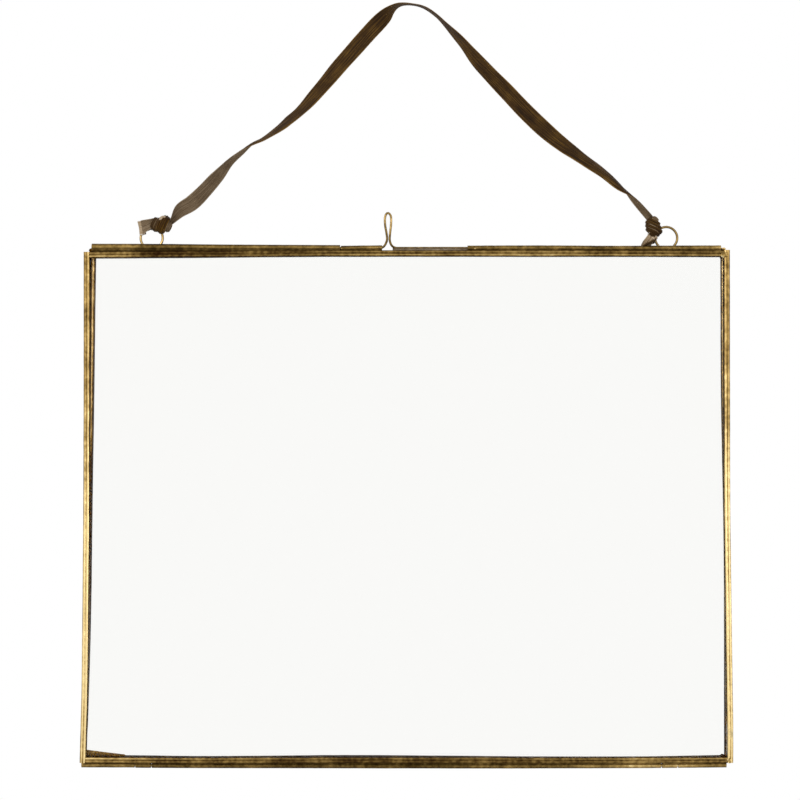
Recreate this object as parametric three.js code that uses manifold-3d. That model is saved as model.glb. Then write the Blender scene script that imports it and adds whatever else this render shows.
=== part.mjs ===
// Brass hanging frame: two hinged leaves of glass in beaded brass channel, shut by a sliding wire bolt
// and hung by a ribbon from two rings. Millimetres, +Z up, +Y towards the wall. The origin is the point
// where a nail or hook takes the ribbon.
import * as THREE from "three";
import { mergeVertices } from "three/addons/utils/BufferGeometryUtils.js";
import Module from "manifold-3d";

const wasm = await Module();
wasm.setup();

// Leaves
const leafWidth = 262;
const leafHeight = 208;
const leafGap = 0.4;
const hangingRise = 100;

// Beaded brass channel round each pane
const channelDepth = 3.6;
const lipReach = 2.4;
const sheetThickness = 0.45;
const frontLipDepth = 0.9;
const mitreGap = 0.3;

// Panes of glass
const paneThickness = 2;
const paneEdgeClearance = 0.4;

// Solder in the inner corners of the lips
const cornerSolderLeg = 1.8;
const cornerSolderSink = 0.3;
const solderFilm = 0.05;

// Rolled tubes along the top and bottom edges, each with a flange soldered to its leaf
const tubeOuter = 2.3;
const tubeBore = 1.5;
const tubeStandOff = 0.1;
const flangeThickness = 0.4;
const flangeInset = 0.3;
const flangeReach = 3.3;
const tubeGap = 0.4;

// Hinge along the bottom edge
const hingeEndInset = 0.8;
const hingeEndTube = 19.6;
const hingeFrontKnuckle = 6.2;
const hingePinWire = 1.2;
const hingePinInset = 0.2;

// Tubes and bolt along the top edge
const topTubeInset = 3;
const latchTubeStart = -26.6;
const latchTubeLength = 16.7;
const boltWindow = 34.8;
const boltWire = 0.95;
const boltLoopOffset = 2.4;
const boltLeftFoot = 2.2;
const boltRightFoot = 2.9;
const boltNeckGap = 0.15;
const boltNeckHeight = 3.3;
const boltLoopWidth = 3.5;
const boltLoopHeight = 14.7;
const boltStopSlack = 0.3;
const boltFreeTip = 0.6;
const boltEngagement = 25;

// Hanging rings, soldered behind the top tubes
const ringOuter = 10;
const ringWire = 1;
const ringLeft = -103.9;
const ringRight = 106;
const ringSolderLength = 3.4;
const ringSolderWidth = 0.9;
const ringSolderHeight = 0.9;

// Ribbon, its knots and the loops round the rings
const ribbonWidth = 6.5;
const ribbonThickness = 0.7;
const ribbonWindings = 3;
const windingHeight = 0.35;
const knotEndWidth = 0.66;
const knotClearance = 0.3;
const loopThickness = 0.6;

// Facets of the round shapes
const wireSides = 8;
const pinSides = 12;
const ringSegments = 32;
const beadSegments = 3;
const tubeSegments = 9;
const bendSegments = 4;
const boltBendSteps = 6;
const knotSides = 12;
const rowsPerWinding = 4;
const stationsPerRoutePoint = 2;

const brass = new THREE.MeshStandardMaterial({ color: "#9c7c46", metalness: 1, roughness: 0.38 });
const brassWire = new THREE.MeshStandardMaterial({ color: "#c2a05c", metalness: 1, roughness: 0.3 });
const solder = new THREE.MeshStandardMaterial({ color: "#a19a88", metalness: 1, roughness: 0.45 });
const glass = new THREE.MeshStandardMaterial({
  color: "#f3f5f2", metalness: 0, roughness: 0.05, transparent: true, opacity: 0.2,
});
const ribbonCloth = new THREE.MeshStandardMaterial({ color: "#4b3a20", metalness: 0, roughness: 0.85 });

const quarterTurn = Math.PI / 2;
const tubeRadius = tubeOuter / 2;
const tubeOffset = tubeRadius + tubeStandOff;
const frontLeafFace = -leafGap / 2 - channelDepth;
const backLeafFace = leafGap / 2;

function named(name, geometry, material) {
  const mesh = new THREE.Mesh(geometry, material.clone());
  mesh.name = name;
  return mesh;
}

// A three.js geometry as a solid that can be cut, and back again.
function solidOf(geometry) {
  const bare = geometry.clone();
  for (const name of Object.keys(bare.attributes)) if (name !== "position") bare.deleteAttribute(name);
  const merged = mergeVertices(bare);
  return new wasm.Manifold(new wasm.Mesh({
    numProp: 3,
    vertProperties: merged.attributes.position.array,
    triVerts: new Uint32Array(merged.index.array),
  }));
}

function geometryOf(solid) {
  const { vertProperties, triVerts } = solid.getMesh();
  const geometry = new THREE.BufferGeometry();
  geometry.setAttribute("position", new THREE.BufferAttribute(vertProperties, 3));
  geometry.setIndex(new THREE.BufferAttribute(triVerts, 1));
  geometry.computeVertexNormals();
  return geometry;
}

// Carries a section along stations, each { x, y, z, turn }: the section's first axis lies across the
// route in the leaves' plane, turned about the route by turn, and its second axis points to the wall.
function sweep(section, stations) {
  const last = stations.length - 1;
  const geometry = new THREE.ExtrudeGeometry(section, { depth: last, steps: last, bevelEnabled: false });
  const middles = stations.map((s) => new THREE.Vector3(s.x, s.y, s.z));
  const towardsWall = new THREE.Vector3(0, 1, 0);
  const frames = middles.map((middle, k) => {
    const before = middles[Math.max(k - 1, 0)];
    const after = middles[Math.min(k + 1, last)];
    const along = after.clone().sub(before).normalize();
    const across = towardsWall.clone().cross(along).normalize();
    const through = along.clone().cross(across);
    across.applyAxisAngle(along, stations[k].turn ?? 0);
    through.applyAxisAngle(along, stations[k].turn ?? 0);
    return { middle, across, through };
  });
  const at = geometry.attributes.position;
  for (let i = 0; i < at.count; i++) {
    const { middle, across, through } = frames[Math.round(at.getZ(i))];
    const point = middle.clone();
    point.addScaledVector(across, at.getX(i)).addScaledVector(through, at.getY(i));
    at.setXYZ(i, point.x, point.y, point.z);
  }
  geometry.computeVertexNormals();
  return geometry;
}

// Turns a shape extruded along +Z to lie along +X, with its own x towards the wall and its y up.
function layAlongX(geometry) {
  const turned = new THREE.Matrix4().makeBasis(
    new THREE.Vector3(0, 1, 0), new THREE.Vector3(0, 0, 1), new THREE.Vector3(1, 0, 0),
  );
  return geometry.applyMatrix4(turned);
}

function roundSection(radius, sides) {
  const section = new THREE.Shape();
  for (let k = 0; k < sides; k++) {
    const angle = (k / sides) * 2 * Math.PI;
    const step = k === 0 ? "moveTo" : "lineTo";
    section[step](radius * Math.cos(angle), radius * Math.sin(angle));
  }
  return section.closePath();
}

// Channel section: x from the outer web in over the glass, y from the front bead crests back.
function channelSection() {
  const bead = lipReach / 4;
  const section = new THREE.Shape();
  section.moveTo(0, channelDepth);
  section.lineTo(0, bead);
  section.absarc(bead, bead, bead, Math.PI, 2 * Math.PI, false);
  section.absarc(3 * bead, bead, bead, Math.PI, 2 * Math.PI, false);
  section.lineTo(lipReach, frontLipDepth);
  section.lineTo(sheetThickness, frontLipDepth);
  section.lineTo(sheetThickness, channelDepth - sheetThickness);
  section.lineTo(lipReach, channelDepth - sheetThickness);
  section.lineTo(lipReach, channelDepth);
  return section.closePath();
}

// A length of channel with both ends mitred towards the glass.
function mitredChannel(length) {
  const options = { depth: length, bevelEnabled: false, curveSegments: beadSegments };
  const geometry = new THREE.ExtrudeGeometry(channelSection(), options);
  const at = geometry.attributes.position;
  for (let i = 0; i < at.count; i++) {
    const cut = at.getX(i) + mitreGap * Math.SQRT1_2;
    at.setZ(i, at.getZ(i) > length / 2 ? length - cut : cut);
  }
  geometry.computeVertexNormals();
  return geometry;
}

function pane() {
  const inset = 2 * (sheetThickness + paneEdgeClearance);
  const channel = channelDepth - sheetThickness - frontLipDepth;
  const geometry = new THREE.BoxGeometry(leafWidth - inset, paneThickness, leafHeight - inset);
  geometry.translate(0, frontLipDepth + channel / 2, leafHeight / 2);
  return geometry;
}

// A fillet of solder in the inner corner of the front lips, lying on the glass.
function cornerSolder() {
  const triangle = new THREE.Shape();
  triangle.moveTo(0, 0);
  triangle.lineTo(cornerSolderLeg, 0);
  triangle.lineTo(0, cornerSolderLeg);
  triangle.closePath();
  const depth = frontLipDepth - cornerSolderSink - solderFilm;
  const geometry = new THREE.ExtrudeGeometry(triangle, { depth, bevelEnabled: false });
  geometry.rotateX(quarterTurn);
  geometry.translate(0, cornerSolderSink + depth, 0);
  return geometry;
}

// Four channels, the pane and the corner solder of one leaf, standing on z = 0 with its front at y = 0.
function leafPieces(leafName) {
  const corners = [
    { side: "left", corner: "bottom_left", x: -1, z: 0, length: leafHeight },
    { side: "top", corner: "top_left", x: -1, z: 1, length: leafWidth },
    { side: "right", corner: "top_right", x: 1, z: 1, length: leafHeight },
    { side: "bottom", corner: "bottom_right", x: 1, z: 0, length: leafWidth },
  ];
  const pieces = [named(`${leafName}_glass`, pane(), glass)];
  corners.forEach(({ side, corner, x, z, length }, turns) => {
    const rail = named(`${leafName}_${side}_channel`, mitredChannel(length), brass);
    rail.rotation.y = turns * quarterTurn;
    rail.position.set(x * leafWidth / 2, 0, z * leafHeight);
    const fillet = named(`${leafName}_solder_${corner}`, cornerSolder(), solder);
    const inset = lipReach + solderFilm;
    fillet.rotation.y = turns * quarterTurn;
    fillet.position.set(x * (leafWidth / 2 - inset), 0, z * leafHeight + (1 - 2 * z) * inset);
    pieces.push(rail, fillet);
  });
  return pieces;
}

// A rolled tube from x = 0 to its length, its flange reaching towards +y on the leaf below it.
function rolledTube(length) {
  const flangeBase = solderFilm - tubeOffset;
  const flangeTop = flangeBase + flangeThickness;
  const start = Math.asin(flangeTop / tubeRadius);
  const end = 2 * Math.PI - Math.acos(flangeInset / tubeRadius);
  const section = new THREE.Shape();
  section.moveTo(flangeReach, flangeTop);
  section.absarc(0, 0, tubeRadius, start, end, false);
  section.lineTo(flangeInset, flangeBase);
  section.lineTo(flangeReach, flangeBase);
  section.closePath();
  const bore = new THREE.Path();
  bore.absarc(0, 0, tubeBore / 2, 0, 2 * Math.PI, true);
  section.holes.push(bore);
  const options = { depth: length, bevelEnabled: false, curveSegments: tubeSegments };
  return layAlongX(new THREE.ExtrudeGeometry(section, options));
}

// The tube lies on the top or bottom edge, and its flange on the back leaf or, turned round, the front.
function tube(name, start, end, { onTop, onFront }) {
  const mesh = named(name, rolledTube(end - start), brass);
  const turnedOver = !onTop;
  mesh.rotation.x = turnedOver ? Math.PI : 0;
  mesh.rotation.z = onFront !== turnedOver ? Math.PI : 0;
  mesh.position.x = onFront !== turnedOver ? end : start;
  mesh.position.z = onTop ? leafHeight + tubeOffset : -tubeOffset;
  return mesh;
}

function hingeTubes() {
  const outerEnd = leafWidth / 2 - hingeEndInset;
  const knuckleOuter = outerEnd - hingeEndTube - tubeGap;
  const knuckleInner = knuckleOuter - hingeFrontKnuckle;
  const middleEnd = knuckleInner - tubeGap;
  const onBack = { onTop: false, onFront: false };
  const onFront = { onTop: false, onFront: true };
  return {
    back: [
      tube("hinge_tube_left", -outerEnd, -knuckleOuter - tubeGap, onBack),
      tube("hinge_tube_middle", -middleEnd, middleEnd, onBack),
      tube("hinge_tube_right", knuckleOuter + tubeGap, outerEnd, onBack),
    ],
    front: [
      tube("hinge_knuckle_left", -knuckleOuter, -knuckleInner, onFront),
      tube("hinge_knuckle_right", knuckleInner, knuckleOuter, onFront),
    ],
  };
}

function hingePin() {
  const length = leafWidth - 2 * (hingeEndInset + hingePinInset);
  const geometry = new THREE.CylinderGeometry(hingePinWire / 2, hingePinWire / 2, length, pinSides);
  geometry.rotateZ(quarterTurn);
  const mesh = named("hinge_pin", geometry, brassWire);
  mesh.position.z = -tubeOffset;
  return mesh;
}

// The bolt: one wire with an arm each way and a hairpin loop to slide it by.
const latchTubeEnd = latchTubeStart + latchTubeLength;
const rightTubeStart = latchTubeEnd + boltWindow;
const boltLoopCentre = latchTubeEnd + boltLoopOffset;
const boltTravel = rightTubeStart - boltLoopCentre - boltRightFoot - boltStopSlack;

function boltStations() {
  const neck = (boltWire + boltNeckGap) / 2;
  const bend = (boltLoopWidth - boltWire) / 2;
  const bendHeight = boltLoopHeight - boltWire / 2 - bend;
  const waist = (boltNeckHeight + bendHeight) / 2;
  const centre = boltLoopCentre;
  const route = new THREE.Path();
  route.moveTo(latchTubeEnd - boltTravel + boltFreeTip, 0);
  route.lineTo(centre - boltLeftFoot, 0);
  route.quadraticCurveTo(centre - neck, 0, centre - neck, boltNeckHeight);
  route.bezierCurveTo(centre - neck, waist, centre - bend, waist, centre - bend, bendHeight);
  route.absarc(centre, bendHeight, bend, Math.PI, 0, true);
  route.bezierCurveTo(centre + bend, waist, centre + neck, waist, centre + neck, boltNeckHeight);
  route.quadraticCurveTo(centre + neck, 0, centre + boltRightFoot, 0);
  route.lineTo(rightTubeStart + boltEngagement, 0);
  return route.getPoints(boltBendSteps).map((p) => ({ x: p.x, y: 0, z: p.y }));
}

function closureBolt() {
  const mesh = named("closure_bolt", sweep(roundSection(boltWire / 2, wireSides), boltStations()), brassWire);
  mesh.position.z = leafHeight + tubeOffset;
  return mesh;
}

function topTubes() {
  const outerEnd = leafWidth / 2 - topTubeInset;
  return {
    back: [
      tube("top_tube_left", -outerEnd, latchTubeStart - tubeGap, { onTop: true, onFront: false }),
      tube("top_tube_right", rightTubeStart, outerEnd, { onTop: true, onFront: false }),
    ],
    front: [tube("latch_tube", latchTubeStart, latchTubeEnd, { onTop: true, onFront: true })],
  };
}

// Rings stand on the top tubes' flanges, close behind the tubes.
const ringDepth = tubeRadius + solderFilm + ringWire / 2;
const ringFoot = leafHeight + solderFilm + flangeThickness + solderFilm;
const ringHeight = ringFoot + ringOuter / 2;
const rings = [{ side: "left", x: ringLeft }, { side: "right", x: ringRight }];

function ringGeometry(wire) {
  const geometry = new THREE.TorusGeometry((ringOuter - ringWire) / 2, wire / 2, wireSides, ringSegments);
  return geometry.rotateX(quarterTurn);
}

function ringPieces() {
  return rings.flatMap(({ side, x }) => {
    const ring = named(`hanging_ring_${side}`, ringGeometry(ringWire), brassWire);
    ring.position.set(x, ringDepth, ringHeight);
    const wedge = new THREE.Shape();
    wedge.moveTo(0, 0);
    wedge.lineTo(ringSolderWidth, 0);
    wedge.quadraticCurveTo(0, 0, 0, ringSolderHeight);
    wedge.closePath();
    const options = { depth: ringSolderLength, bevelEnabled: false, curveSegments: bendSegments };
    const fillet = layAlongX(new THREE.ExtrudeGeometry(wedge, options));
    const seat = named(`ring_solder_${side}`, fillet, solder);
    seat.position.set(x - ringSolderLength / 2, ringDepth + ringWire / 2 + solderFilm, ringFoot);
    return [ring, seat];
  });
}

// The ribbon's route from the left knot over the nail to the right knot: x, y, z and turn in degrees.
// A turn of 0 or 180 lays its width in the leaves' plane, and 90 or 270 lays it towards the wall.
const ribbonRoute = [
  [-95.9, 1.0, -87.5, 44], [-92.2, 1.0, -83.1, 38], [-87.3, 1.0, -80.1, 32], [-82.4, 0.9, -75.6, 34],
  [-77.6, 0.8, -70.5, 41], [-72.7, 0.6, -64.4, 59], [-67.8, 0.5, -60.3, 75], [-62.9, 0.4, -56.7, 95],
  [-58.0, 0.4, -54.2, 108], [-53.1, 0.4, -51.1, 118], [-48.2, 0.4, -47.4, 126], [-43.3, 0.4, -43.2, 131],
  [-36.0, 0.4, -35.0, 149], [-28.7, 0.4, -26.3, 165], [-21.3, 0.3, -17.9, 176], [-14.0, 0.2, -9.8, 186],
  [-9.1, 0.1, -4.8, 212], [-5.9, 0.0, -1.5, 250], [-2.6, 0.0, 0.3, 272], [2.3, 0.0, 0.5, 281],
  [7.2, 0.0, -0.7, 277], [12.1, 0.0, -4.1, 272], [17.0, 0.1, -8.8, 262], [22.7, 0.2, -15.1, 247],
  [30.0, 0.3, -24.0, 225], [39.8, 0.4, -34.0, 210], [49.6, 0.5, -44.2, 194], [59.4, 0.6, -53.4, 171],
  [69.1, 0.6, -60.6, 152], [78.9, 0.5, -67.6, 139], [86.2, 0.5, -73.7, 126], [93.6, 0.5, -80.1, 66],
  [98.9, 0.7, -85.6, 50],
];

function ribbonSection() {
  const half = ribbonWidth / 2;
  const edge = ribbonThickness / 4;
  const section = new THREE.Shape();
  section.moveTo(half, -edge);
  section.lineTo(half, edge);
  section.lineTo(half - 2 * edge, 2 * edge);
  section.lineTo(2 * edge - half, 2 * edge);
  section.lineTo(-half, edge);
  section.lineTo(-half, -edge);
  section.lineTo(2 * edge - half, -2 * edge);
  section.lineTo(half - 2 * edge, -2 * edge);
  return section.closePath();
}

function ribbonStations() {
  const route = new THREE.CatmullRomCurve3(ribbonRoute.map(([x, y, z]) => new THREE.Vector3(x, y, z)));
  const turns = new THREE.SplineCurve(ribbonRoute.map((point, k) => new THREE.Vector2(k, point[3])));
  const spans = ribbonRoute.length - 1;
  const steps = spans * stationsPerRoutePoint;
  return Array.from({ length: steps + 1 }, (_, k) => {
    const { x, y, z } = route.getPoint(k / steps);
    return { x, y, z, turn: THREE.MathUtils.degToRad(turns.getPoint(k / steps).y) };
  });
}

function ribbonGeometry() {
  return sweep(ribbonSection(), ribbonStations());
}

// A knot as a barrel along +Z with one ridge for each winding, made shallower towards the wall.
function knotGeometry({ length, width, depth }) {
  const rows = rowsPerWinding * ribbonWindings;
  const profile = [new THREE.Vector2(0, -length / 2)];
  for (let k = 0; k <= rows; k++) {
    const share = k / rows;
    const barrel = Math.sqrt(1 - (1 - knotEndWidth ** 2) * (2 * share - 1) ** 2);
    const ridge = windingHeight * Math.abs(Math.sin(share * ribbonWindings * Math.PI));
    const radius = (width / 2 - windingHeight) * barrel + ridge;
    profile.push(new THREE.Vector2(radius, (share - 0.5) * length));
  }
  profile.push(new THREE.Vector2(0, length / 2));
  const geometry = new THREE.LatheGeometry(profile, knotSides);
  geometry.rotateX(quarterTurn);
  geometry.scale(1, depth / width, 1);
  return geometry;
}

// A loop of ribbon folded round the ring: open at x = 0, its fold at x = reach, and as wide along z.
function loopGeometry({ reach, width }) {
  const inner = ringWire / 2 + knotClearance;
  const outer = inner + loopThickness;
  const bend = reach - outer;
  const section = new THREE.Shape();
  section.moveTo(0, inner);
  section.lineTo(bend, inner);
  section.absarc(bend, 0, inner, quarterTurn, -quarterTurn, true);
  section.lineTo(0, -inner);
  section.lineTo(0, -outer);
  section.lineTo(bend, -outer);
  section.absarc(bend, 0, outer, -quarterTurn, quarterTurn, false);
  section.lineTo(0, outer);
  section.closePath();
  const options = { depth: width, bevelEnabled: false, curveSegments: bendSegments };
  return new THREE.ExtrudeGeometry(section, options).translate(0, 0, -width / 2);
}

// Each knot's middle, its lean in the leaves' plane and its size, and the loop that leaves it.
const knots = [
  {
    side: "left", x: -99.9, y: 0.9, z: -89.2, lean: 80, length: 8.3, width: 7.2, depth: 5.4,
    loop: { x: -104.5, z: -90.3, heading: 180, reach: 5.1, width: 5.6 },
  },
  {
    side: "right", x: 101.2, y: 0.9, z: -90.4, lean: 22, length: 8.6, width: 6.9, depth: 5.4,
    loop: { x: 97.3, z: -95.1, heading: 20, reach: 6, width: 4.6 },
  },
];

// A knot's body where it lies, grown by a clearance on every side.
function knotBody({ x, y, z, lean, length, width, depth }, clearance) {
  const grow = 2 * clearance;
  const geometry = knotGeometry({ length: length + grow, width: width + grow, depth: depth + grow });
  geometry.rotateY(THREE.MathUtils.degToRad(lean)).translate(x, y, z);
  return solidOf(geometry);
}

function ribbonPieces() {
  const ringZ = ringHeight - leafHeight - hangingRise;
  const roomForKnots = knots.map((knot) => knotBody(knot, knotClearance));
  const strap = roomForKnots.reduce((rest, room) => rest.subtract(room), solidOf(ribbonGeometry()));
  const pieces = [named("ribbon", geometryOf(strap), ribbonCloth)];
  knots.forEach((knot, k) => {
    const { side, loop } = knot;
    const roomForRing = ringGeometry(ringWire + 2 * knotClearance).translate(rings[k].x, ringDepth, ringZ);
    const body = knotBody(knot, 0).subtract(solidOf(roomForRing));
    const fold = loopGeometry(loop).rotateY(THREE.MathUtils.degToRad(-loop.heading));
    fold.translate(loop.x, ringDepth, loop.z);
    const clearFold = solidOf(fold).subtract(roomForKnots[k]);
    pieces.push(named(`ribbon_knot_${side}`, geometryOf(body), ribbonCloth));
    pieces.push(named(`ribbon_loop_${side}`, geometryOf(clearFold), ribbonCloth));
  });
  return pieces;
}

const hinge = hingeTubes();
const top = topTubes();

const backLeaf = new THREE.Group();
const backChannels = new THREE.Group();
backChannels.position.y = backLeafFace;
backChannels.add(...leafPieces("back_leaf"));
backLeaf.add(backChannels, ...hinge.back, hingePin(), ...top.back, ...ringPieces());

const frontLeaf = new THREE.Group();
const frontChannels = new THREE.Group();
frontChannels.position.y = frontLeafFace;
frontChannels.add(...leafPieces("front_leaf"));
frontLeaf.add(frontChannels, ...hinge.front, ...top.front);

const leaves = new THREE.Group();
leaves.position.z = -hangingRise - leafHeight;
leaves.add(backLeaf, frontLeaf, closureBolt());

const frame = new THREE.Group();
frame.add(leaves, ...ribbonPieces());

export default frame;
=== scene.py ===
import math

import bpy
from mathutils import Matrix, Vector


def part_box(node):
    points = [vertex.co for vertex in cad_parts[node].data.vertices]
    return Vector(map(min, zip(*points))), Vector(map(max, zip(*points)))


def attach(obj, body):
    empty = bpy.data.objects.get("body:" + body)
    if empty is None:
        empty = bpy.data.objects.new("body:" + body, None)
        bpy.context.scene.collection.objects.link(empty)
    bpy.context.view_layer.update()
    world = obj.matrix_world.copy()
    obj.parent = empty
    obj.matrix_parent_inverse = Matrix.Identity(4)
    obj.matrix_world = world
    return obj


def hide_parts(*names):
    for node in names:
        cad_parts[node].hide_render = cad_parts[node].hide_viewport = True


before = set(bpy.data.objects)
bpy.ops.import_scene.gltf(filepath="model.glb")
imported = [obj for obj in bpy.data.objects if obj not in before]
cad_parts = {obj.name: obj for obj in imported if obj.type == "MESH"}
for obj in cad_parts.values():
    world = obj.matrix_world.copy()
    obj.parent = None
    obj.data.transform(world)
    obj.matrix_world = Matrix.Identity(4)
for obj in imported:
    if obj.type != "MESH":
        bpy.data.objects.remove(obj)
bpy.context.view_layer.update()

# Each leaf holds a pane of 2 mm float glass, cut square and slid into its channel before the last side was
# soldered on. It is clear and flat, with the haze that a cloth leaves. The panes in the photo mirror hardly
# anything, so their IOR is well under the 1.5 of glass.
MM = 0.001
GLASS_TINT = "#fcfcfb"
GLASS_IOR = 1.2
GLASS_SHINE = 0.2
GLASS_POLISH = 0.01
GLASS_HAZE = 0.06
HAZE_SIZE = 40 * MM


def linear(hex_colour):
    """An sRGB hex colour as linear RGBA."""
    channels = [int(hex_colour[k:k + 2], 16) / 255 for k in (1, 3, 5)]
    return [c / 12.92 if c <= 0.04045 else ((c + 0.055) / 1.055) ** 2.4 for c in channels] + [1]


def add_node(tree, kind, inputs=None, stops=None, **settings):
    """Adds a node with its settings, and fills or links its inputs. A node given as an input stands for its
    first output. Stops are a ramp's places and colours."""
    node = tree.nodes.new(kind)
    for label, value in settings.items():
        setattr(node, label, value)
    for label, value in (inputs or {}).items():
        source = value.outputs[0] if isinstance(value, bpy.types.Node) else value
        if isinstance(source, bpy.types.NodeSocket):
            tree.links.new(source, node.inputs[label])
        else:
            node.inputs[label].default_value = source
    for k, (place, colour) in enumerate(stops or []):
        if k > 1:
            node.color_ramp.elements.new(place)
        node.color_ramp.elements[k].position = place
        node.color_ramp.elements[k].color = linear(colour)
    return node


def start_material(name):
    """A new material, its empty tree, and a Texture Coordinate node's Object output there."""
    material = bpy.data.materials.new(name)
    material.use_nodes = True
    tree = material.node_tree
    tree.nodes.clear()
    return material, tree, add_node(tree, "ShaderNodeTexCoord").outputs["Object"]


def end_material(material, inputs):
    """Ends a material in a Principled shader with these inputs."""
    shader = add_node(material.node_tree, "ShaderNodeBsdfPrincipled", inputs)
    add_node(material.node_tree, "ShaderNodeOutputMaterial", {"Surface": shader})
    return material


def float_glass():
    """Clear glass, polished but for patches of haze."""
    material, tree, place = start_material("Float glass")
    haze = add_node(tree, "ShaderNodeTexNoise", {"Vector": place, "Scale": 1 / HAZE_SIZE, "Detail": 4.0})
    polish = add_node(tree, "ShaderNodeMapRange", {
        "Value": haze, "From Min": 0.5, "From Max": 0.8, "To Min": GLASS_POLISH, "To Max": GLASS_HAZE,
    })
    return end_material(material, {
        "Base Color": linear(GLASS_TINT), "IOR": GLASS_IOR, "Specular IOR Level": GLASS_SHINE,
        "Transmission Weight": 1.0, "Roughness": polish,
    })


glass = float_glass()
for leaf in ("front_leaf", "back_leaf"):
    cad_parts[f"{leaf}_glass"].data.materials.clear()
    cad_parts[f"{leaf}_glass"].data.materials.append(glass)

# Each pane sits in four lengths of brass channel, rolled from 0.45 mm sheet with beads along the front lip.
# The side lengths run the full height, and the others butt between them, soldered at the corners. The brass
# was antiqued brown, then rubbed back bright on the beads. Over that wear the colour also holds painted
# light: highlights along the bead crests, shade on their flanks, in the grooves and at the lips' edges, and
# the sides painted brighter than the top and bottom.
CHANNEL_LOW, CHANNEL_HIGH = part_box("front_leaf_top_channel")
LIP_REACH = CHANNEL_HIGH.z - CHANNEL_LOW.z
CHANNEL_DEPTH = CHANNEL_HIGH.y - CHANNEL_LOW.y
SHEET = 0.45 * MM
FRONT_LIP_DEPTH = 0.9 * MM
BEAD = LIP_REACH / 4
BACK_BEAD = 0.5 * MM
BACK_BEAD_PLACE = 1.55 * MM
BEAD_STEPS = 10
BACK_CORNERS = {"front_leaf": 1.3 * MM, "back_leaf": 0.5 * MM}
BEAD_RISE = 0.27 * MM
# Wear on the section, together with painted shade in the grooves, at the lip's edges and on the outer bead.
GROOVE_WEAR_AND_SHADE = 0.46
OUTER_EDGE_WEAR_AND_SHADE = 0.12
INNER_EDGE_WEAR_AND_SHADE = {"front_leaf": [0.15, 0.0], "back_leaf": [GROOVE_WEAR_AND_SHADE, 0.25]}
OUTER_BEAD_WEAR_AND_SHADE = 0.75
BUTT = 0.93 * LIP_REACH
RAIL_STEP = 1.6 * MM
RAIL_SWAY = (0.22 * MM, 45 * MM)
RAIL_LUMP = (0.11 * MM, 4.5 * MM)
NO_SWAY = (0.0, MM)
SMOOTH_ANGLE = math.radians(38)

# Each hand-bent rail's share of the way down or to the right, how far it stands outside its straight place
# there in mm, and how bright its beads are: rubbed wear with painted light, the front sides brighter than the
# top and bottom and brighter lower down, the back leaf's mostly dark as painted shade behind the front leaf.
RAIL_BOWS = {
    "front_leaf_left": [
        (0, -0.2, 0.75), (0.25, -0.2, 0.9), (0.5, -0.05, 1.6), (0.62, 0.15, 1.85), (0.72, 0.35, 1.9),
        (0.8, 0.5, 1.9), (0.88, 0.75, 1.9), (0.95, 1.15, 1.7), (1, 1.45, 1.5),
    ],
    "front_leaf_right": [
        (0, 0.1, 0.8), (0.25, 0.15, 0.85), (0.5, 0.25, 1.65), (0.72, 0.8, 1.95), (0.88, 1.3, 1.95),
        (0.95, 1.45, 1.8), (1, 1.4, 1.7),
    ],
    "front_leaf_top": [
        (0, -0.45, 0.75), (0.05, -0.4, 0.65), (0.1, -0.35, 0.4), (0.2, -0.15, 0.35), (0.33, 0.05, 0.45),
        (0.4, 0.15, 0.72), (0.6, 0.15, 0.68), (0.85, 0.1, 0.67), (1, 0, 0.75),
    ],
    "front_leaf_bottom": [
        (0, 0.1, 0.85), (0.1, 0.2, 0.8), (0.2, 0.25, 0.55), (0.4, 0.1, 0.35), (0.55, 0.15, 0.35),
        (0.8, 0.25, 0.5), (1, 0.05, 0.7),
    ],
    "back_leaf_left": [
        (0, -1.9, 0.95), (0.1, -1.6, 0.95), (0.25, -1.2, 0.95), (0.49, -0.4, 0.4), (0.72, 0.25, 0.3),
        (0.9, 1.3, 0.3), (1, 2.0, 0.3),
    ],
    "back_leaf_right": [
        (0, -0.35, 1.7), (0.25, -0.15, 1.7), (0.4, 0.35, 1.6), (0.55, 0.95, 1.0), (0.7, 1.15, 0.4),
        (1, 1.2, 0.35),
    ],
    "back_leaf_top": [(0, -0.2, 0.4), (0.2, 0.15, 0.4), (0.33, 0.5, 0.4), (0.7, 0.6, 0.4), (1, 0.4, 0.4)],
    "back_leaf_bottom": [
        (0, 0.1, 0.3), (0.1, 0.4, 0.3), (0.2, 0.65, 0.3), (0.4, 0.25, 0.3), (0.55, 0.45, 0.3),
        (0.8, 0.95, 0.3), (1, 0.2, 0.3),
    ],
}
RAIL_TOPS = {"front_leaf_left": -0.5, "front_leaf_right": 0.3, "back_leaf_left": -0.2, "back_leaf_right": 0}


def start_tree(name, inputs):
    """A Geometry Nodes tree with these inputs, each a name and a socket type, and its input sockets."""
    tree = bpy.data.node_groups.new(name, "GeometryNodeTree")
    tree.interface.new_socket("Geometry", in_out="INPUT", socket_type="NodeSocketGeometry")
    for label, kind in inputs.items():
        tree.interface.new_socket(label, in_out="INPUT", socket_type=f"NodeSocket{kind}")
    tree.interface.new_socket("Geometry", in_out="OUTPUT", socket_type="NodeSocketGeometry")
    return tree, add_node(tree, "NodeGroupInput").outputs


def end_tree(tree, geometry, material):
    """Ends a tree in Realize Instances and Set Material."""
    whole = add_node(tree, "GeometryNodeRealizeInstances", {"Geometry": geometry})
    painted = add_node(tree, "GeometryNodeSetMaterial", {"Geometry": whole, "Material": material})
    add_node(tree, "NodeGroupOutput", {"Geometry": painted})


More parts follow.
